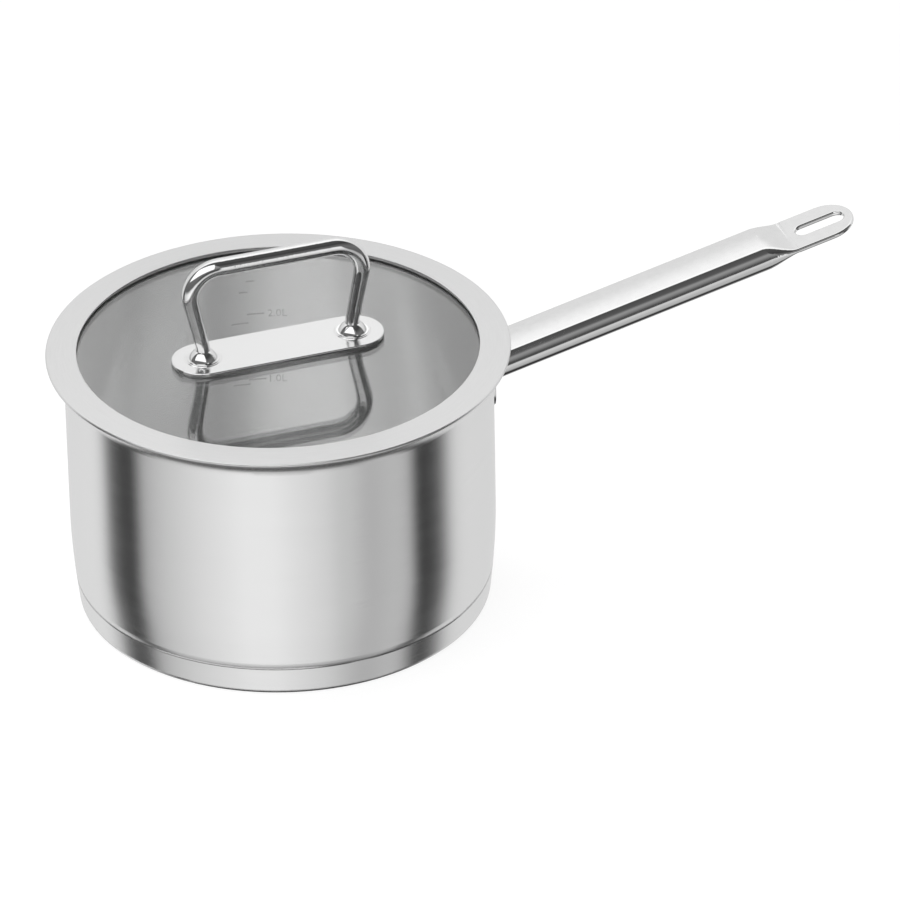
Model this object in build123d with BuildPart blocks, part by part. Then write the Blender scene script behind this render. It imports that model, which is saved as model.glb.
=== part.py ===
"""Saucepan with a capsule base, a hollow handle and a flat glass lid with a bow grip.

Millimetres, +Z up. The origin is the centre of the base on the worktop, and +X runs along the handle.
Left and right are the -X and +X ends of the lid's bow.
"""
import os
from math import asin, cos, degrees, radians, sin, sqrt, tan

from build123d import *

os.makedirs("parts", exist_ok=True)

# Pan: a deep-drawn pot with a pouring rim
pan_inner_radius = 100.0
pan_wall = 0.9
pan_height = 129.3
belly_top = 48.0
belly_radius = 350.0
corner_radius = 10.5
rim_flare_radius = 8.5
rim_flare_turn = 70.0

# Capsule base: an aluminium core pressed between the pan floor and a steel cap
base_height = 8.0
cap_sheet = 0.5
cap_height = 14.3
cap_taper = 1.5
cap_foot_radius = 3.0
cap_fit = 0.02
core_wrap = 50.0

# Handle: a flattened oval tube pressed shut at its end, welded to the wall through a saddle flange
handle_tilt = 12.9
handle_width = 28.5
handle_depth = 14.4
side_share = 0.89
handle_wall = 1.0
handle_straight = 143.5
handle_flatten = 16.5
flatten_sections = 6
cavity_share = 0.9
tab_thickness = 2.4
tab_straight = 18.3
tab_edge_radius = 1.0
slot_length = 24.6
slot_width = 8.2
slot_setback = 2.4
flange_width = 46.0
flange_rise = 34.0
flange_corner = 13.0
flange_thickness = 1.6
flange_edge_radius = 0.8
flange_rim_gap = 0.74

# Lid rim: one strip, hemmed at the outer edge and folded down into a channel for the glass
lid_overhang = 2.7
lid_lap = 4.0
lid_sheet = 0.8
lid_seat_gap = 0.3
band_slope = 3.05
hem_inner_radius = 0.1
skirt_clearance = 0.6
skirt_bend_radius = 0.8
lip_bend_radius = 1.5
lip_width = 3.4

# Glass and its edge gasket
glass_thickness = 4.0
glass_edge_chamfer = 0.5
gasket_leg = 1.1
gasket_back = 1.0
gasket_recess = 0.6

# Bow grip with its plate, collars and pad
plate_length = 103.6
plate_width = 30.0
plate_thickness = 1.5
plate_edge_radius = 0.6
boss_diameter = 17.6
boss_height = 0.25
pad_thickness = 0.7
pad_inset = 1.2
foot_inset = 15.0
bar_height = 46.9
bow_lean = 11.8
bow_diameter = 8.6
bow_bend_radius = 14.0
bow_sections = 16
neck_diameter = 6.7
knee_radius = 12.0
collar_diameter = 15.6
collar_height = 4.25
collar_edge = 0.5
collar_bulge = 0.35

# Fastening below the glass
screw_diameter = 4.0
screw_grip = 9.0
screw_head_diameter = 8.0
screw_head_height = 2.6
screw_recess_depth = 1.5
screw_recess_across = 2.5
thread_clearance = 0.05
hole_clearance = 0.2
seat_clearance = 0.05
bush_wall = 2.3
seal_diameter = 15.0
seal_thickness = 1.2
washer_diameter = 13.0
washer_thickness = 1.0
edge_break = 0.3


def save(builder, name):
    """Name a finished piece and write it to its own file."""
    builder.part.label = name
    export_step(builder.part, f"parts/{name}.step")


# Pan body: floor, corner, belly, wall and flared rim are one sheet that turns about the axis
pan_outer_radius = pan_inner_radius + pan_wall
belly_turn = degrees(asin((belly_top - base_height - corner_radius) / (belly_radius - corner_radius)))
corner_start = (
    pan_outer_radius
    - belly_radius * (1 - cos(radians(belly_turn)))
    - corner_radius * cos(radians(belly_turn))
)
rim_end_height = pan_height - pan_wall * sin(radians(rim_flare_turn))
rim_end_radius = pan_outer_radius + rim_flare_radius * (1 - cos(radians(rim_flare_turn)))
rim_flare_start = rim_end_height - rim_flare_radius * sin(radians(rim_flare_turn))

with BuildPart() as pan_body:
    with BuildSketch(Plane.XZ):
        with BuildLine():
            floor_line = Line((0, base_height), (corner_start, base_height))
            corner = JernArc(floor_line @ 1, floor_line % 1, corner_radius, 90 - belly_turn)
            belly = JernArc(corner @ 1, corner % 1, belly_radius, belly_turn)
            wall_line = Line(belly @ 1, (pan_outer_radius, rim_flare_start))
            JernArc(wall_line @ 1, wall_line % 1, rim_flare_radius, -rim_flare_turn)
            offset(amount=pan_wall, side=Side.LEFT)
        make_face()
    revolve(axis=Axis.Z)
save(pan_body, "pan_body")

# Base cap: its upper edge hugs the pan's corner, its side narrows towards the worktop
corner_centre_height = base_height + corner_radius
pan_radius_at_cap = corner_start + sqrt(corner_radius**2 - (corner_centre_height - cap_height) ** 2)
cap_top_radius = pan_radius_at_cap + cap_fit + cap_sheet
cap_bottom_radius = cap_top_radius - cap_taper

with BuildPart() as base_cap:
    with BuildSketch(Plane.XZ):
        with BuildLine():
            FilletPolyline(
                (0, 0),
                (cap_bottom_radius, 0),
                (cap_top_radius, cap_height),
                radius=cap_foot_radius,
            )
            offset(amount=cap_sheet, side=Side.LEFT)
        make_face()
    revolve(axis=Axis.Z)
save(base_cap, "base_cap")

# Base core: fills the capsule and wraps up round the pan's corner
cap_side_slope = cap_taper / cap_height
cap_side_shift = cap_sheet * sqrt(1 + cap_side_slope**2)
core_foot_radius = cap_foot_radius - cap_sheet
core_top = base_height + corner_radius * (1 - cos(radians(core_wrap)))


def cap_inner_radius(height):
    """Radius of the cap's inside wall at a height above the worktop."""
    return cap_bottom_radius + cap_side_slope * height - cap_side_shift


with BuildPart() as base_core:
    with BuildSketch(Plane.XZ):
        with BuildLine():
            FilletPolyline(
                (0, cap_sheet),
                (cap_inner_radius(cap_sheet), cap_sheet),
                (cap_inner_radius(core_top), core_top),
                radius=core_foot_radius,
            )
            wrap = CenterArc((corner_start, corner_centre_height), corner_radius, -90, core_wrap)
            Line((cap_inner_radius(core_top), core_top), wrap @ 1)
            Polyline(wrap @ 0, (0, base_height), (0, cap_sheet))
        make_face()
    revolve(axis=Axis.Z)
save(base_core, "base_core")

# Handle flange: a rounded plate bent round the wall, just below the flared rim
flange_outer_radius = pan_outer_radius + flange_thickness
handle_root_height = rim_flare_start - flange_rim_gap - flange_rise / 2

with BuildPart() as handle_flange:
    with BuildSketch(Plane.YZ):
        with Locations((0, handle_root_height)):
            RectangleRounded(flange_width, flange_rise, flange_corner)
    extrude(amount=flange_outer_radius)
    Cylinder(flange_outer_radius, 2 * pan_height, mode=Mode.INTERSECT)
    Cylinder(pan_outer_radius, 2 * pan_height, mode=Mode.SUBTRACT)
    flange_face = handle_flange.faces().filter_by(GeomType.CYLINDER).sort_by(SortBy.AREA)[-1]
    fillet(flange_face.edges(), flange_edge_radius)
save(handle_flange, "handle_flange")

# Handle tube: its sections are crowned ovals that thin out along the pressed stretch
handle_plane = Plane(
    origin=(pan_outer_radius, 0, handle_root_height),
    x_dir=(0, 1, 0),
    z_dir=(cos(radians(handle_tilt)), 0, sin(radians(handle_tilt))),
)
tab_start = handle_straight + handle_flatten
tab_plane = Plane(
    origin=handle_plane.from_local_coords((0, 0, tab_start)),
    x_dir=handle_plane.z_dir,
    z_dir=handle_plane.y_dir,
)
root_overrun = handle_width


def blend(start, end, share):
    """Go from start to end with no slope at either end."""
    return start + (end - start) * share**2 * (3 - 2 * share)


def oval(width, depth):
    """Draw an oval with two crowned faces and two rounded sides in the open sketch."""
    side_radius = side_share * depth / 2
    side_centre = width / 2 - side_radius
    crown_radius = (side_centre**2 + (depth / 2) ** 2 - side_radius**2) / (depth - 2 * side_radius)
    with Locations((0, depth / 2 - crown_radius)):
        Circle(crown_radius)
    with Locations((0, crown_radius - depth / 2)):
        Circle(crown_radius, mode=Mode.INTERSECT)
    fillet(vertices(), side_radius)


with BuildPart() as handle_tube:
    with BuildSketch(tab_plane):
        with Locations((tab_straight / 2, 0)):
            Rectangle(tab_straight, handle_width)
        with Locations((tab_straight, 0)):
            Circle(handle_width / 2)
        with Locations((-handle_width / 2, 0)):
            Rectangle(handle_width, handle_width, mode=Mode.SUBTRACT)
        with Locations((tab_straight - slot_setback, 0)):
            SlotOverall(slot_length, slot_width, mode=Mode.SUBTRACT)
    extrude(amount=tab_thickness / 2, both=True)
    tab_edges = handle_tube.faces().filter_by(tab_plane).edges()
    fillet(tab_edges.filter_by(Axis.Y, reverse=True), tab_edge_radius)
    with BuildSketch(handle_plane.offset(-root_overrun)):
        oval(handle_width, handle_depth)
    extrude(amount=root_overrun + handle_straight)
    for step in range(flatten_sections):
        share = step / (flatten_sections - 1)
        with BuildSketch(handle_plane.offset(handle_straight + share * handle_flatten)):
            oval(handle_width, blend(handle_depth, tab_thickness, share))
    loft()
    with BuildSketch(handle_plane.offset(-root_overrun)):
        oval(handle_width - 2 * handle_wall, handle_depth - 2 * handle_wall)
    extrude(amount=root_overrun + handle_straight, mode=Mode.SUBTRACT)
    for step in range(flatten_sections):
        share = cavity_share * step / (flatten_sections - 1)
        with BuildSketch(handle_plane.offset(handle_straight + share * handle_flatten)):
            oval(handle_width - 2 * handle_wall, blend(handle_depth, tab_thickness, share) - 2 * handle_wall)
    loft(mode=Mode.SUBTRACT)
    Cylinder(flange_outer_radius, 2 * pan_height, mode=Mode.SUBTRACT)
save(handle_tube, "handle_tube")

# Lid rim: the path is the strip's middle line, from the opening outwards and back under
slope = radians(band_slope)
half_sheet = lid_sheet / 2
hem_radius = lid_sheet + hem_inner_radius
skirt_radius = pan_inner_radius - skirt_clearance
channel_radius = skirt_radius - lid_sheet
lid_opening_radius = channel_radius - lid_lap
lid_outer_radius = rim_end_radius + lid_overhang


def rim_underside(radius):
    """Height of the lid rim's underside, which lies on the pan's rim."""
    return pan_height + lid_seat_gap - (radius - rim_end_radius) * tan(slope)


def band_top(radius):
    """Height of the lid rim's upper face."""
    return rim_underside(radius) + 2 * hem_radius / cos(slope)


def band_underside(radius):
    """Height of the upper layer's underside, over the glass."""
    return band_top(radius) - lid_sheet / cos(slope)


glass_top = band_underside(lid_opening_radius) - gasket_leg
glass_bottom = glass_top - glass_thickness
lip_top = glass_bottom - gasket_leg
lip_middle = lip_top - half_sheet
hem_middle_radius = hem_radius - half_sheet
bend_middle_radius = skirt_bend_radius + half_sheet
fold_middle_radius = lip_bend_radius - half_sheet
skirt_middle = skirt_radius - half_sheet
band_start = lid_opening_radius + half_sheet
band_end = lid_outer_radius - hem_radius + hem_middle_radius * sin(slope)
under_end = skirt_middle + bend_middle_radius * (1 + sin(slope))

with BuildPart() as lid_rim:
    with BuildSketch(Plane.XZ):
        with BuildLine():
            band = Line(
                (band_start, band_top(band_start) - half_sheet / cos(slope)),
                (band_end, band_top(band_end) - half_sheet / cos(slope)),
            )
            hem = JernArc(band @ 1, band % 1, hem_middle_radius, -180)
            under = Line(hem @ 1, (under_end, rim_underside(under_end) + half_sheet / cos(slope)))
            bend = JernArc(under @ 1, under % 1, bend_middle_radius, 90 + band_slope)
            skirt = Line(bend @ 1, (skirt_middle, lip_middle + fold_middle_radius))
            fold = JernArc(skirt @ 1, skirt % 1, fold_middle_radius, -90)
            Line(fold @ 1, (skirt_radius - lip_width, lip_middle))
            offset(amount=half_sheet)
        make_face()
    revolve(axis=Axis.Z)
save(lid_rim, "lid_rim")

# Gasket: a U section that grips the edge of the glass inside the rim's channel
glass_radius = channel_radius - gasket_back
gasket_inner_radius = lid_opening_radius + gasket_recess
gasket_corner = lip_bend_radius - lid_sheet

with BuildPart() as lid_gasket:
    with BuildSketch(Plane.XZ):
        with BuildLine():
            Polyline(
                (gasket_inner_radius, band_underside(gasket_inner_radius)),
                (gasket_inner_radius, glass_top),
                (glass_radius, glass_top),
                (glass_radius, glass_bottom),
                (gasket_inner_radius, glass_bottom),
                (gasket_inner_radius, lip_top),
                (channel_radius - gasket_corner, lip_top),
                (channel_radius, lip_top + gasket_corner),
                (channel_radius, band_underside(channel_radius)),
                close=True,
            )
        make_face()
    revolve(axis=Axis.Z)
save(lid_gasket, "lid_gasket")

# Glass: a flat disc with ground edges and two holes for the bow's screws
foot_x = plate_length / 2 - foot_inset
foot_places = [(-foot_x, 0), (foot_x, 0)]
foot_names = ["left", "right"]
screw_hole_radius = screw_diameter / 2 + hole_clearance
bush_outer_radius = screw_hole_radius + bush_wall
glass_hole_radius = bush_outer_radius + seat_clearance

with BuildPart() as lid_glass:
    with BuildSketch(Plane.XY.offset(glass_bottom)):
        Circle(glass_radius)
        with Locations(foot_places):
            Circle(glass_hole_radius, mode=Mode.SUBTRACT)
    extrude(amount=glass_thickness)
    rim_edges = lid_glass.edges().filter_by(GeomType.CIRCLE).sort_by(SortBy.RADIUS)[-2:]
    chamfer(rim_edges, glass_edge_chamfer)
save(lid_glass, "lid_glass")

# Pad and plate between the glass and the bow
plate_bottom = glass_top + pad_thickness
plate_top = plate_bottom + plate_thickness
bow_seat = plate_top + boss_height

with BuildPart() as plate_pad:
    with BuildSketch(Plane.XY.offset(glass_top)):
        SlotOverall(plate_length - 2 * pad_inset, plate_width - 2 * pad_inset)
        with Locations(foot_places):
            Circle(screw_hole_radius, mode=Mode.SUBTRACT)
    extrude(amount=pad_thickness)
save(plate_pad, "plate_pad")

with BuildPart() as lid_plate:
    with BuildSketch(Plane.XY.offset(plate_bottom)):
        SlotOverall(plate_length, plate_width)
    extrude(amount=plate_thickness)
    fillet(lid_plate.faces().sort_by(Axis.Z)[-1].edges(), plate_edge_radius)
    with BuildSketch(Plane.XY.offset(plate_top)):
        with Locations(foot_places):
            Circle(boss_diameter / 2)
    extrude(amount=boss_height, taper=45)
    with BuildSketch(Plane.XY.offset(plate_bottom)):
        with Locations(foot_places):
            Circle(screw_hole_radius)
    extrude(amount=2 * plate_thickness, mode=Mode.SUBTRACT)
save(lid_plate, "lid_plate")

# Bow: half of it is drawn from the middle of the bar down to its foot, then mirrored
bar_z = plate_top + bar_height
knee_reach = knee_radius * tan(radians(bow_lean / 2))
knee_height = collar_height + knee_reach
neck_height = knee_height + 2 * knee_reach
knee_z = bow_seat + knee_height
lean_slope = tan(radians(bow_lean))


def leg_point(height):
    """Point on the leaning leg's centre line at a height above the bow's seat."""
    return (foot_x + (height - knee_height) * lean_slope, bow_seat + height)


bow_corner = (foot_x + (bar_z - knee_z) * lean_slope, bar_z)
bar_end = bow_corner[0] - bow_bend_radius * tan(radians(45 + bow_lean / 2))

with BuildPart() as lid_bow:
    with BuildLine(Plane.XZ) as grip_path:
        FilletPolyline((0, bar_z), bow_corner, leg_point(neck_height), radius=bow_bend_radius)
    grip = grip_path.wires()[0]
    bar_share = bar_end / grip.length
    for step in range(bow_sections):
        place = step / (bow_sections - 1)
        narrowing = max(0, (place - bar_share) / (1 - bar_share))
        with BuildSketch(Plane(grip @ place, x_dir=(0, 1, 0), z_dir=grip % place)):
            Circle(blend(bow_diameter, neck_diameter, narrowing) / 2)
    loft()
    with BuildLine(Plane.XZ) as neck_path:
        FilletPolyline(leg_point(neck_height), (foot_x, knee_z), (foot_x, bow_seat), radius=knee_radius)
    with BuildSketch(Plane(neck_path.line @ 0, z_dir=neck_path.line % 0)):
        Circle(neck_diameter / 2)
    sweep(path=neck_path.line)
    with BuildSketch(Plane.XY.offset(bow_seat)):
        with Locations((foot_x, 0)):
            Circle(screw_diameter / 2 + thread_clearance)
    extrude(amount=screw_grip + edge_break, mode=Mode.SUBTRACT)
    mirror(about=Plane.YZ)
save(lid_bow, "lid_bow")

# Collars: polished domes that close the joint between each foot and the plate
collar_bore_radius = neck_diameter / 2 + seat_clearance
collar_radius = collar_diameter / 2
seal_top = glass_bottom
washer_top = seal_top - seal_thickness
head_top = washer_top - washer_thickness
screw_top = bow_seat + screw_grip

for place, side in zip(foot_places, foot_names):
    axis = Axis((place[0], place[1], 0), (0, 0, 1))
    foot_plane = Plane(origin=(place[0], place[1], 0), x_dir=(1, 0, 0), z_dir=(0, -1, 0))

    with BuildPart() as collar:
        with BuildSketch(foot_plane):
            with BuildLine():
                dome = SagittaArc(
                    (collar_radius, bow_seat + collar_edge),
                    (collar_bore_radius, bow_seat + collar_height),
                    collar_bulge,
                )
                Polyline(
                    dome @ 1,
                    (collar_bore_radius, bow_seat),
                    (collar_radius, bow_seat),
                    dome @ 0,
                )
            make_face()
        revolve(axis=axis)
    save(collar, f"lid_collar_{side}")

    with BuildPart() as bush:
        with BuildSketch(Plane.XY.offset(glass_bottom)):
            with Locations(place):
                Circle(bush_outer_radius)
                Circle(screw_hole_radius, mode=Mode.SUBTRACT)
        extrude(amount=glass_thickness)
    save(bush, f"glass_bush_{side}")

    with BuildPart() as seal:
        with BuildSketch(Plane.XY.offset(washer_top)):
            with Locations(place):
                Circle(seal_diameter / 2)
                Circle(screw_hole_radius, mode=Mode.SUBTRACT)
        extrude(amount=seal_thickness)
        chamfer(seal.faces().sort_by(Axis.Z)[0].outer_wire().edges(), edge_break)
    save(seal, f"lower_seal_{side}")

    with BuildPart() as washer:
        with BuildSketch(Plane.XY.offset(head_top)):
            with Locations(place):
                Circle(washer_diameter / 2)
                Circle(screw_hole_radius, mode=Mode.SUBTRACT)
        extrude(amount=washer_thickness)
        chamfer(washer.faces().sort_by(Axis.Z)[0].outer_wire().edges(), edge_break)
    save(washer, f"lower_washer_{side}")

    with BuildPart() as screw:
        with BuildSketch(Plane.XY.offset(head_top)):
            with Locations(place):
                Circle(screw_head_diameter / 2)
        extrude(amount=-screw_head_height)
        fillet(screw.faces().sort_by(Axis.Z)[0].edges(), screw_head_height / 2)
        with BuildSketch(Plane.XY.offset(head_top)):
            with Locations(place):
                Circle(screw_diameter / 2)
        extrude(amount=screw_top - head_top)
        chamfer(screw.faces().sort_by(Axis.Z)[-1].edges(), edge_break)
        with BuildSketch(Plane.XY.offset(head_top - screw_head_height)):
            with Locations(place):
                RegularPolygon(screw_recess_across / 2, 6, major_radius=False)
        extrude(amount=screw_recess_depth, mode=Mode.SUBTRACT)
    save(screw, f"lid_screw_{side}")
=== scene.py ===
"""Looks of the saucepan: finishes, litre scale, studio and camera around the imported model.

Metres, in the frame of the model: +X along the handle, +Z up, origin at the centre of the base.
"""
from math import cos, pi, radians, sin

import bpy
from mathutils import Matrix, Vector


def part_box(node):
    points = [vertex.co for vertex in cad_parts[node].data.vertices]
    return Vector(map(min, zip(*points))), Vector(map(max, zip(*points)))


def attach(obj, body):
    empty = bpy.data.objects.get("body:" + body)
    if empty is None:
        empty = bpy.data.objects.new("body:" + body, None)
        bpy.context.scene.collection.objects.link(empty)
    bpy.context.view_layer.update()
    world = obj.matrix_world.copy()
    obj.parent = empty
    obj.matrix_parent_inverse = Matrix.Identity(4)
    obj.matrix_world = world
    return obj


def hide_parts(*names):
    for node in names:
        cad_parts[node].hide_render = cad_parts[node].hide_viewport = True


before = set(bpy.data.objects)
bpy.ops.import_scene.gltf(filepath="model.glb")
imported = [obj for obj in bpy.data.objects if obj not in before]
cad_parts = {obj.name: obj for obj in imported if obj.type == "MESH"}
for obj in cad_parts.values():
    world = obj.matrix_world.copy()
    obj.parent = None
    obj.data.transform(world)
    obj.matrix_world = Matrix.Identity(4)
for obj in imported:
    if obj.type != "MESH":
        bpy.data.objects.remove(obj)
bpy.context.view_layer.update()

# The photograph's view: angles in degrees, the aim measured from the base's centre
view_azimuth = -18.7
view_elevation = 30.6
view_roll = 1.1
view_distance = 4.0
aim_right = 0.0784
aim_up = 0.06435
lens_mm = 335.7
sensor_mm = 36.0

# Floor: the camera sees a share of white glow over its own shade, so that a faint shadow stays
floor_size = 8.0
floor_level = 0.92
floor_rough = 0.9
floor_glow = 0.65
floor_white = 1.29

# White panel: its direction counts from the camera's, its corners are shares of its distance
panel_azimuth = -20.0
panel_elevation = 45.0
panel_distance = 0.85
panel_aim_height = 0.15
panel_corners = [(-1.16, -0.3), (0.83, -0.3), (0.2, 0.68), (-0.92, 0.68)]
panel_level = 1.5

# Surroundings that reflections see, as levels by place. Bearings are degrees from the camera's side,
# heights are the ray's rise, the window's places are sideways slopes, and tuples are ends of soft edges.
pan_shade = (-0.94, -0.74)
table_edge = (-0.28, -0.08)
table_levels = [(-180, 0.8), (-118, 0.97), (-79, 0.66), (-45, 1.03), (-20, 1.25), (-5, 1.25), (25, 0.97),
                (45, 0.6), (66, 0.74), (110, 0.92), (180, 0.8)]
left_flag = (-111.0, -104.0, -85.0, -78.5)
right_flag = (72.0, 77.5, 92.0, 108.0)
flag_level = 0.03
backdrop_edge = (0.2, 0.3)
backdrop_levels = [(0.0, 0.88), (0.5, 0.98), (0.62, 1.08), (0.8, 1.28), (0.94, 1.42)]
window_heights = (0.476, 0.484, 0.512, 0.520)
window_levels = [(-0.1, 1.0), (-0.05, 1.45), (-0.043, 1.06), (-0.0285, 0.9), (-0.0262, 1.35),
                 (-0.018, 1.75), (0.0, 1.15), (0.05, 1.0)]
front_levels = [(0.0, 0.16), (0.35, 0.2), (0.6, 0.12), (0.75, 0.06), (1.0, 0.1)]
gleam_bearings = (0.0, 6.0, 31.5, 33.5)
gleam_levels = [(0.1, 0.09), (0.5, 0.33), (0.68, 0.38), (0.86, 0.13), (1.0, 0.11)]
card_bearings = (31.5, 33.5, 42.0, 46.0)
card_fade = (0.3, 0.2)
card_level = 1.1

# Litre and quart scale on the inside of the wall: angles in degrees from +X, the rest in metres
scale_radius = 0.09985
scale_depth = 0.00012
scale_zero = 0.0172
litre_rise = 0.0363
quart_rise = 0.03395
half_steps = 5
mark_stroke = 0.0007
mark_pieces = 6
figure_height = 0.0039
figure_angle = 75.2
litre_angle = 76.2
quart_angle = 80.6
long_mark = 4.8
short_mark = 2.4

# Domed collars: a dome on a thin brim, its slope given by the rise of its normal at foot and top in degrees
collar_bore = 0.0034
brim_height = 0.0003
brim_chamfer = 0.00012
dome_foot = 20.0
dome_top = 60.0
dome_steps = 12
collar_steps = 64
crease_angle = 40.0

# Finishes: the range that noise values keep to, and the depth of brushed streaks
noise_range = (0.25, 0.75)
streak_depth = 0.00002


def grey(level):
    """Colour of a grey level."""
    return (level, level, level, 1.0)


def add(tree, kind, settings, inputs):
    """Add a node, set its properties, and set or link its inputs."""
    made = tree.nodes.new(kind)
    for name, value in settings.items():
        setattr(made, name, value)
    for key, value in inputs.items():
        if isinstance(value, bpy.types.NodeSocket):
            tree.links.new(value, made.inputs[key])
        else:
            made.inputs[key].default_value = value
    return made


def maths(tree, operation, *values):
    """Output of a Math node."""
    return add(tree, "ShaderNodeMath", {"operation": operation}, dict(enumerate(values))).outputs[0]


def vector_maths(tree, operation, inputs):
    """Outputs of a Vector Math node."""
    return add(tree, "ShaderNodeVectorMath", {"operation": operation}, inputs).outputs


def ramp(tree, factor, stops):
    """Colour that runs straight through grey stops, given as (place, level)."""
    made = add(tree, "ShaderNodeValToRGB", {}, {"Fac": factor})
    made.color_ramp.interpolation = "LINEAR"
    elements = made.color_ramp.elements
    while len(elements) < len(stops):
        elements.new(1.0)
    for element, (place, level) in zip(elements, stops):
        element.position = place
        element.color = grey(level)
    return made.outputs["Color"]


def step(tree, value, low, high):
    """Rise smoothly from 0 at low to 1 at high."""
    made = add(tree, "ShaderNodeMapRange", {"interpolation_type": "SMOOTHSTEP"},
               {"Value": value, "From Min": low, "From Max": high})
    return made.outputs["Result"]


def band(tree, value, edges):
    """Rise from 0 to 1 between the first two edges and fall back between the last two."""
    rise = step(tree, value, edges[0], edges[1])
    fall = step(tree, value, edges[3], edges[2])
    return maths(tree, "MULTIPLY", rise, fall)


def blended(tree, share, first, second):
    """Colour that goes from first to second as share goes from 0 to 1."""
    inputs = {"Factor": share, 6: first, 7: second}
    return add(tree, "ShaderNodeMix", {"data_type": "RGBA"}, inputs).outputs[2]


def multiplied(tree, first, second):
    """Product of two colours."""
    settings = {"data_type": "RGBA", "blend_type": "MULTIPLY"}
    return add(tree, "ShaderNodeMix", settings, {"Factor": 1.0, 6: first, 7: second}).outputs[2]


def new_material(name):
    """A new material with its tree and its shader."""
    material = bpy.data.materials.new(name)
    material.use_nodes = True
    tree = material.node_tree
    return material, tree, tree.nodes["Principled BSDF"]


def new_piece(name, points, faces, material):
    """A new mesh object of one material in the scene."""
    mesh = bpy.data.meshes.new(name)
    mesh.from_pydata(points, [], faces)
    mesh.materials.append(material)
    piece = bpy.data.objects.new(name, mesh)
    bpy.context.scene.collection.objects.link(piece)
    return piece


def object_place(tree):
    """Coordinates in the object's own frame."""
    return add(tree, "ShaderNodeTexCoord", {}, {}).outputs["Object"]


def ring_coordinates(tree, along, across):
    """Coordinates of a finish that runs round the axis: streaks are long round it and fine across it."""
    place = object_place(tree)
    flat = vector_maths(tree, "MULTIPLY", {0: place, 1: (1.0, 1.0, 0.0)})[0]
    radius = vector_maths(tree, "LENGTH", {0: flat})["Value"]
    spoke = vector_maths(tree, "NORMALIZE", {0: flat})[0]
    turned = vector_maths(tree, "SCALE", {0: spoke, "Scale": along})[0]
    parts = add(tree, "ShaderNodeSeparateXYZ", {}, {0: turned}).outputs
    height = add(tree, "ShaderNodeSeparateXYZ", {}, {0: place}).outputs["Z"]
    level = maths(tree, "MULTIPLY", maths(tree, "ADD", radius, height), across)
    return add(tree, "ShaderNodeCombineXYZ", {}, {"X": parts["X"], "Y": parts["Y"], "Z": level}).outputs[0]


def line_coordinates(tree, along, across):
    """Coordinates of a finish that runs along X."""
    return vector_maths(tree, "MULTIPLY", {0: object_place(tree), 1: (along, across, across)})[0]


def noise(tree, coordinates, scale, detail):
    """Value of a noise, about 0.5 on average."""
    inputs = {"Vector": coordinates, "Scale": scale, "Detail": detail}
    return add(tree, "ShaderNodeTexNoise", {}, inputs).outputs["Fac"]


def set_shade(tree, shader, value, low, high):
    """Let the base colour go from a low to a high grey with a noise value."""
    stops = list(zip(noise_range, (low, high)))
    tree.links.new(ramp(tree, value, stops), shader.inputs["Base Color"])


def set_rough(tree, shader, value, low, high):
    """Let the roughness go from low to high with a noise value."""
    made = add(tree, "ShaderNodeMapRange", {}, {"Value": value, "From Min": noise_range[0],
                                                "From Max": noise_range[1], "To Min": low, "To Max": high})
    tree.links.new(made.outputs["Result"], shader.inputs["Roughness"])


def set_bump(tree, shader, value, strength, distance):
    """Raise the surface with a noise value."""
    lift = add(tree, "ShaderNodeBump", {}, {"Strength": strength, "Distance": distance, "Height": value})
    tree.links.new(lift.outputs[0], shader.inputs["Normal"])


def steel(name, coordinates, shade, rough, stretch, turn, bump):
    """Brushed or satin steel: streaked colour and roughness, highlights drawn out across the streaks."""
    material, tree, shader = new_material(name)
    value = noise(tree, coordinates(tree), scale=1.0, detail=3.0)
    set_shade(tree, shader, value, *shade)
    set_rough(tree, shader, value, *rough)
    set_bump(tree, shader, value, bump, streak_depth)
    shader.inputs["Metallic"].default_value = 1.0
    shader.inputs["Anisotropic"].default_value = stretch
    shader.inputs["Anisotropic Rotation"].default_value = turn
    tangent = add(tree, "ShaderNodeTangent", {"direction_type": "RADIAL", "axis": "Z"}, {})
    tree.links.new(tangent.outputs[0], shader.inputs["Tangent"])
    return material


def polished_steel():
    """Mirror steel with faint polishing waves and wipe marks."""
    material, tree, shader = new_material("polished_steel")
    place = object_place(tree)
    waves = noise(tree, place, scale=70.0, detail=1.0)
    wipes = noise(tree, place, scale=260.0, detail=5.0)
    set_shade(tree, shader, wipes, low=0.70, high=0.74)
    set_rough(tree, shader, wipes, low=0.05, high=0.09)
    set_bump(tree, shader, waves, strength=0.05, distance=0.0004)
    shader.inputs["Metallic"].default_value = 1.0
    return material


def clear_glass():
    """Tempered lid glass with a faint tint and wipe marks."""
    material, tree, shader = new_material("clear_glass")
    wipes = noise(tree, object_place(tree), scale=40.0, detail=4.0)
    set_rough(tree, shader, wipes, low=0.0, high=0.02)
    shader.inputs["Base Color"].default_value = (0.958, 0.965, 0.963, 1.0)
    shader.inputs["Transmission Weight"].default_value = 1.0
    shader.inputs["IOR"].default_value = 1.85
    return material


def pale_silicone():
    """Milky grey silicone with a fine moulded grain."""
    material, tree, shader = new_material("pale_silicone")
    grain = noise(tree, object_place(tree), scale=2500.0, detail=3.0)
    set_shade(tree, shader, grain, low=0.70, high=0.76)
    set_rough(tree, shader, grain, low=0.45, high=0.6)
    set_bump(tree, shader, grain, strength=0.15, distance=0.00005)
    return material


def core_aluminium():
    """Pressed aluminium of the sealed core."""
    material, tree, shader = new_material("core_aluminium")
    grain = noise(tree, object_place(tree), scale=900.0, detail=3.0)
    set_shade(tree, shader, grain, low=0.62, high=0.70)
    set_rough(tree, shader, grain, low=0.4, high=0.55)
    shader.inputs["Metallic"].default_value = 1.0
    return material


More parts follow.
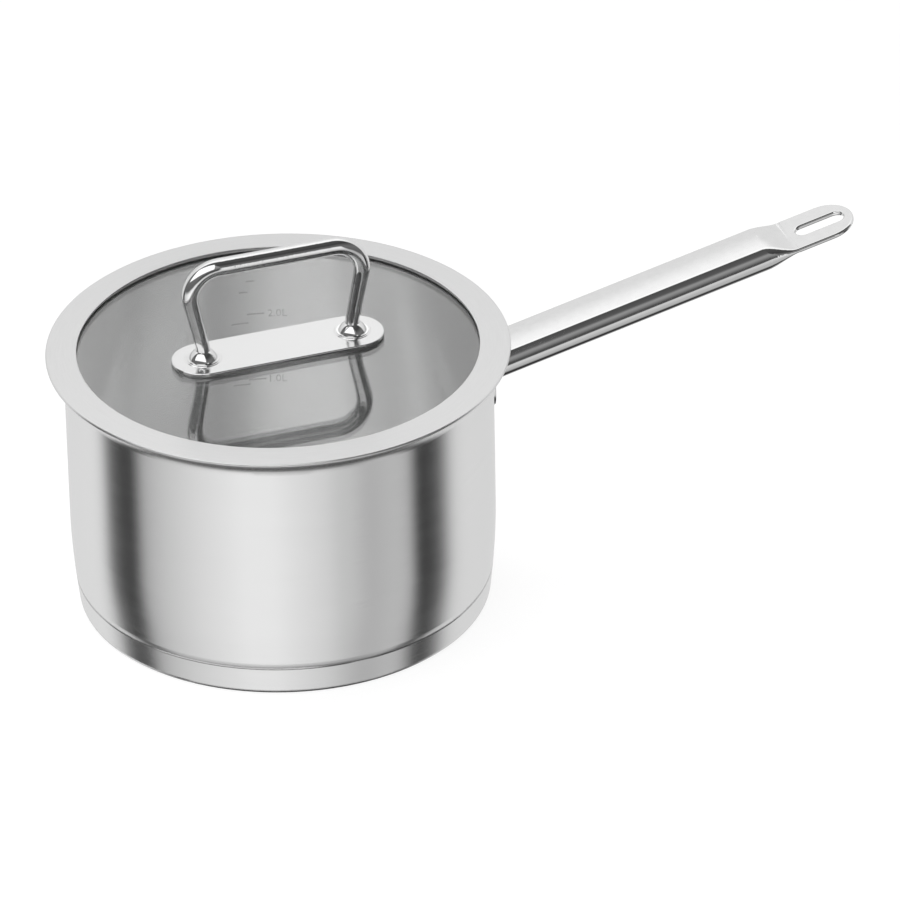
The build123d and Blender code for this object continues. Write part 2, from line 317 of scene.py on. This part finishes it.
def etched_mark():
    """Dull dark grey of the etched scale."""
    material, tree, shader = new_material("etched_mark")
    grain = noise(tree, object_place(tree), scale=3000.0, detail=2.0)
    set_shade(tree, shader, grain, low=0.08, high=0.14)
    set_rough(tree, shader, grain, low=0.5, high=0.7)
    return material


def on_wall(angle, along, height, depth):
    """Point of the scale: along runs to the right as seen from inside, depth into the wall."""
    turn = radians(angle) - along / scale_radius
    radius = scale_radius + depth
    return (radius * cos(turn), radius * sin(turn), height)


def scale_mark(angle, width, height):
    """Corners and faces of a bent bar that runs to the left from an angle."""
    points = []
    for piece in range(mark_pieces + 1):
        place = angle + width * piece / mark_pieces
        for depth in (0.0, scale_depth):
            points.append(on_wall(place, 0.0, height - mark_stroke / 2, depth))
            points.append(on_wall(place, 0.0, height + mark_stroke / 2, depth))
    last = 4 * mark_pieces
    faces = [(0, 1, 3, 2), (last, last + 2, last + 3, last + 1)]
    for piece in range(mark_pieces):
        low, next_low = 4 * piece, 4 * piece + 4
        faces.append((low, next_low, next_low + 1, low + 1))
        faces.append((low + 2, low + 3, next_low + 3, next_low + 2))
        faces.append((low + 1, next_low + 1, next_low + 3, low + 3))
        faces.append((low, low + 2, next_low + 2, next_low))
    return points, faces


def scale_figure(text, angle, height):
    """Corners and faces of a figure bent onto the wall, its left edge at an angle."""
    curve = bpy.data.curves.new(text, "FONT")
    curve.body = text
    curve.resolution_u = 3
    curve.extrude = 0.5
    letters = bpy.data.objects.new(text, curve)
    bpy.context.scene.collection.objects.link(letters)
    bpy.context.view_layer.update()
    flat = bpy.data.meshes.new_from_object(letters.evaluated_get(bpy.context.evaluated_depsgraph_get()))
    bpy.data.objects.remove(letters)
    left = min(vertex.co.x for vertex in flat.vertices)
    bottom = min(vertex.co.y for vertex in flat.vertices)
    size = figure_height / (max(vertex.co.y for vertex in flat.vertices) - bottom)
    points = []
    for vertex in flat.vertices:
        rise = (vertex.co.y - bottom) * size - figure_height / 2
        depth = (curve.extrude - vertex.co.z) * scale_depth
        points.append(on_wall(angle, (vertex.co.x - left) * size, height + rise, depth))
    faces = [tuple(face.vertices) for face in flat.polygons]
    bpy.data.meshes.remove(flat)
    return points, faces


def litre_scale():
    """Litre and quart marks at each half on the inside of the wall, with figures at each whole litre."""
    shapes = []
    for half in range(1, half_steps + 1):
        whole = half % 2 == 0
        width = long_mark if whole else short_mark
        litres = scale_zero + litre_rise * half / 2
        shapes.append(scale_mark(litre_angle + long_mark - width, width, litres))
        shapes.append(scale_mark(quart_angle, width, scale_zero + quart_rise * half / 2))
        if whole:
            shapes.append(scale_figure(f"{half / 2:.1f}L", figure_angle, litres))
    points = []
    faces = []
    for shape_points, shape_faces in shapes:
        first = len(points)
        points.extend(shape_points)
        faces.extend(tuple(first + corner for corner in face) for face in shape_faces)
    scale = new_piece("litre_scale", points, faces, etched_mark())
    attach(scale, "pan")


def collar_outline(brim, height):
    """Outline of a collar as (radius, height): its bore, its chamfered brim and its dome."""
    outline = [(collar_bore, 0.0), (brim, 0.0), (brim, brim_height - brim_chamfer),
               (brim - brim_chamfer, brim_height)]
    foot, top = radians(dome_foot), radians(dome_top)
    arc = (height - brim_height) / (sin(top) - sin(foot))
    for number in range(dome_steps + 1):
        slope = foot + (top - foot) * number / dome_steps
        radius = collar_bore + arc * (cos(slope) - cos(top))
        outline.append((radius, brim_height + arc * (sin(slope) - sin(foot))))
    return outline


def domed_collar(side, material):
    """Collar at the bow's foot as a round dome on a brim, in place of the plainer cone."""
    name = f"lid_collar_{side}"
    low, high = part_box(name)
    centre_x, centre_y = (low[0] + high[0]) / 2, (low[1] + high[1]) / 2
    outline = collar_outline((high[0] - low[0]) / 2, high[2] - low[2])
    count = len(outline)
    points = []
    faces = []
    for number in range(collar_steps):
        turn = 2 * pi * number / collar_steps
        points.extend((centre_x + r * cos(turn), centre_y + r * sin(turn), low[2] + z) for r, z in outline)
        here, there = number * count, (number + 1) % collar_steps * count
        for corner in range(count):
            after = (corner + 1) % count
            faces.append((here + corner, there + corner, there + after, here + after))
    collar = new_piece(f"domed_collar_{side}", points, faces, material)
    collar.data.shade_smooth()
    collar.data.set_sharp_from_angle(angle=radians(crease_angle))
    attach(collar, "lid")
    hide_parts(name)


def finish_nodes():
    """Give every node of the model its finish, and the bow's feet their domed collars."""
    brushed = steel("brushed_steel", lambda tree: ring_coordinates(tree, along=2.5, across=3500.0),
                    shade=(0.70, 0.76), rough=(0.18, 0.26), stretch=0.95, turn=0.25, bump=0.04)
    satin = steel("satin_ring", lambda tree: ring_coordinates(tree, along=9.0, across=3000.0),
                  shade=(0.67, 0.72), rough=(0.30, 0.40), stretch=0.6, turn=0.25, bump=0.05)
    plate = steel("satin_plate", lambda tree: line_coordinates(tree, along=40.0, across=3500.0),
                  shade=(0.70, 0.76), rough=(0.12, 0.18), stretch=0.0, turn=0.0, bump=0.05)
    polished = polished_steel()
    silicone = pale_silicone()
    sides = ["left", "right"]
    finishes = {
        brushed: ["pan_body", "base_cap"],
        satin: ["lid_rim"],
        plate: ["lid_plate"],
        polished: ["handle_tube", "handle_flange", "lid_bow"],
        silicone: ["lid_gasket", "plate_pad"],
        clear_glass(): ["lid_glass"],
        core_aluminium(): ["base_core"],
    }
    for side in sides:
        finishes[plate] += [f"lower_washer_{side}", f"lid_screw_{side}"]
        finishes[polished] += [f"lid_collar_{side}"]
        finishes[silicone] += [f"glass_bush_{side}", f"lower_seal_{side}"]
    for material, names in finishes.items():
        for name in names:
            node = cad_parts[name]
            node.data.materials.clear()
            node.data.materials.append(material)
    for side in sides:
        domed_collar(side, polished)


def photo_camera():
    """Camera at the photograph's angle."""
    camera = bpy.data.objects.new("camera", bpy.data.cameras.new("camera"))
    bpy.context.scene.collection.objects.link(camera)
    camera.data.lens = lens_mm
    camera.data.sensor_width = sensor_mm
    elevation = radians(view_elevation)
    roll = radians(view_roll)
    forward = Vector((0.0, cos(elevation), -sin(elevation)))
    level = Vector((1.0, 0.0, 0.0))
    down = forward.cross(level)
    right = cos(roll) * level + sin(roll) * down
    below = cos(roll) * down - sin(roll) * level
    aim = aim_right * right - aim_up * below
    turn = Matrix.Rotation(radians(view_azimuth), 4, "Z")
    axes = Matrix((right, -below, -forward)).transposed().to_4x4()
    camera.matrix_world = turn @ Matrix.Translation(aim - view_distance * forward) @ axes
    bpy.context.scene.camera = camera


def bearing(angle):
    """Place of a bearing in degrees on a scale from 0 to 1, with the camera's side in the middle."""
    return angle / 360.0 + 0.5


def bearing_band(tree, around, angles):
    """Band between bearings in degrees."""
    return band(tree, around, [bearing(angle) for angle in angles])


def table_light(tree, around, height):
    """Pale table with a dark flag at each side and the pan's own shade under it."""
    bare = ramp(tree, around, [(bearing(angle), level) for angle, level in table_levels])
    left = bearing_band(tree, around, left_flag)
    right = bearing_band(tree, around, right_flag)
    flagged = blended(tree, maths(tree, "MAXIMUM", left, right), bare, grey(flag_level))
    return blended(tree, step(tree, height, *pan_shade), grey(flag_level), flagged)


def backdrop_light(tree, parts):
    """White backdrop that brightens upwards, with the window that the lid's glass mirrors."""
    rise = ramp(tree, parts["Z"], backdrop_levels)
    aside = maths(tree, "ADD", maths(tree, "DIVIDE", parts["X"], parts["Y"]), 0.5)
    window = ramp(tree, aside, [(place + 0.5, level) for place, level in window_levels])
    gain = blended(tree, band(tree, parts["Z"], window_heights), grey(1.0), window)
    return multiplied(tree, rise, gain)


def front_light(tree, around, height):
    """Dark room before the object, with a soft gleam and a low white card beside it."""
    dark = ramp(tree, height, front_levels)
    gleam = ramp(tree, height, gleam_levels)
    room = blended(tree, bearing_band(tree, around, gleam_bearings), dark, gleam)
    width = bearing_band(tree, around, card_bearings)
    card = maths(tree, "MULTIPLY", width, step(tree, height, *card_fade))
    return blended(tree, card, room, grey(card_level))


def studio_world():
    """Studio for reflections: white behind, a dark front and a pale table. The camera sees plain white."""
    world = bpy.data.worlds.new("studio")
    bpy.context.scene.world = world
    world.use_nodes = True
    tree = world.node_tree
    tree.nodes.clear()
    ray = add(tree, "ShaderNodeTexCoord", {}, {}).outputs["Generated"]
    turned = add(tree, "ShaderNodeVectorRotate", {"rotation_type": "Z_AXIS"},
                 {"Vector": ray, "Angle": radians(-view_azimuth)}).outputs[0]
    parts = add(tree, "ShaderNodeSeparateXYZ", {}, {0: turned}).outputs
    toward = maths(tree, "MULTIPLY", parts["Y"], -1.0)
    turn = maths(tree, "ARCTAN2", parts["X"], toward)
    around = maths(tree, "ADD", maths(tree, "DIVIDE", turn, 2.0 * pi), 0.5)
    height = parts["Z"]
    back = step(tree, parts["Y"], *backdrop_edge)
    upper = blended(tree, back, front_light(tree, around, height), backdrop_light(tree, parts))
    light = blended(tree, step(tree, height, *table_edge), table_light(tree, around, height), upper)
    shown = add(tree, "ShaderNodeLightPath", {}, {}).outputs["Is Camera Ray"]
    seen = blended(tree, shown, light, grey(1.0))
    glow = add(tree, "ShaderNodeBackground", {}, {"Color": seen, "Strength": 1.0})
    add(tree, "ShaderNodeOutputWorld", {}, {"Surface": glow.outputs[0]})


def front_panel():
    """White panel above the front, which the camera doesn't see and which casts no shadow."""
    azimuth, elevation = radians(view_azimuth + panel_azimuth), radians(panel_elevation)
    across = Vector((cos(azimuth), sin(azimuth), 0.0))
    outward = Vector((sin(azimuth) * cos(elevation), -cos(azimuth) * cos(elevation), sin(elevation)))
    upward = outward.cross(across)
    aim = Vector((0.0, 0.0, panel_aim_height))
    corners = []
    for right, up in panel_corners:
        corners.append(aim + panel_distance * (outward + right * across + up * upward))
    material, tree = new_material("panel")[:2]
    glow = add(tree, "ShaderNodeEmission", {}, {"Color": grey(1.0), "Strength": panel_level})
    tree.links.new(glow.outputs[0], tree.nodes["Material Output"].inputs["Surface"])
    panel = new_piece("panel", corners, [(0, 1, 2, 3)], material)
    panel.visible_camera = False
    panel.visible_shadow = False


def floor():
    """Pale floor that keeps the object's shadow and shows white around it."""
    material, tree, shader = new_material("floor")
    shader.inputs["Base Color"].default_value = grey(floor_level)
    shader.inputs["Roughness"].default_value = floor_rough
    shader.inputs["Specular IOR Level"].default_value = 0.0
    paths = add(tree, "ShaderNodeLightPath", {}, {}).outputs
    shown = maths(tree, "MAXIMUM", paths["Is Camera Ray"], paths["Is Transmission Ray"])
    share = maths(tree, "MULTIPLY", shown, floor_glow)
    glow = add(tree, "ShaderNodeEmission", {}, {"Color": grey(1.0), "Strength": floor_white})
    mixed = add(tree, "ShaderNodeMixShader", {}, {0: share, 1: shader.outputs[0], 2: glow.outputs[0]})
    tree.links.new(mixed.outputs[0], tree.nodes["Material Output"].inputs["Surface"])
    half = floor_size / 2
    corners = [(-half, -half, 0.0), (half, -half, 0.0), (half, half, 0.0), (-half, half, 0.0)]
    plane = new_piece("floor", corners, [(0, 1, 2, 3)], material)
    plane.visible_glossy = False


bpy.context.scene.view_settings.view_transform = "Standard"
finish_nodes()
litre_scale()
photo_camera()
studio_world()
front_panel()
floor()
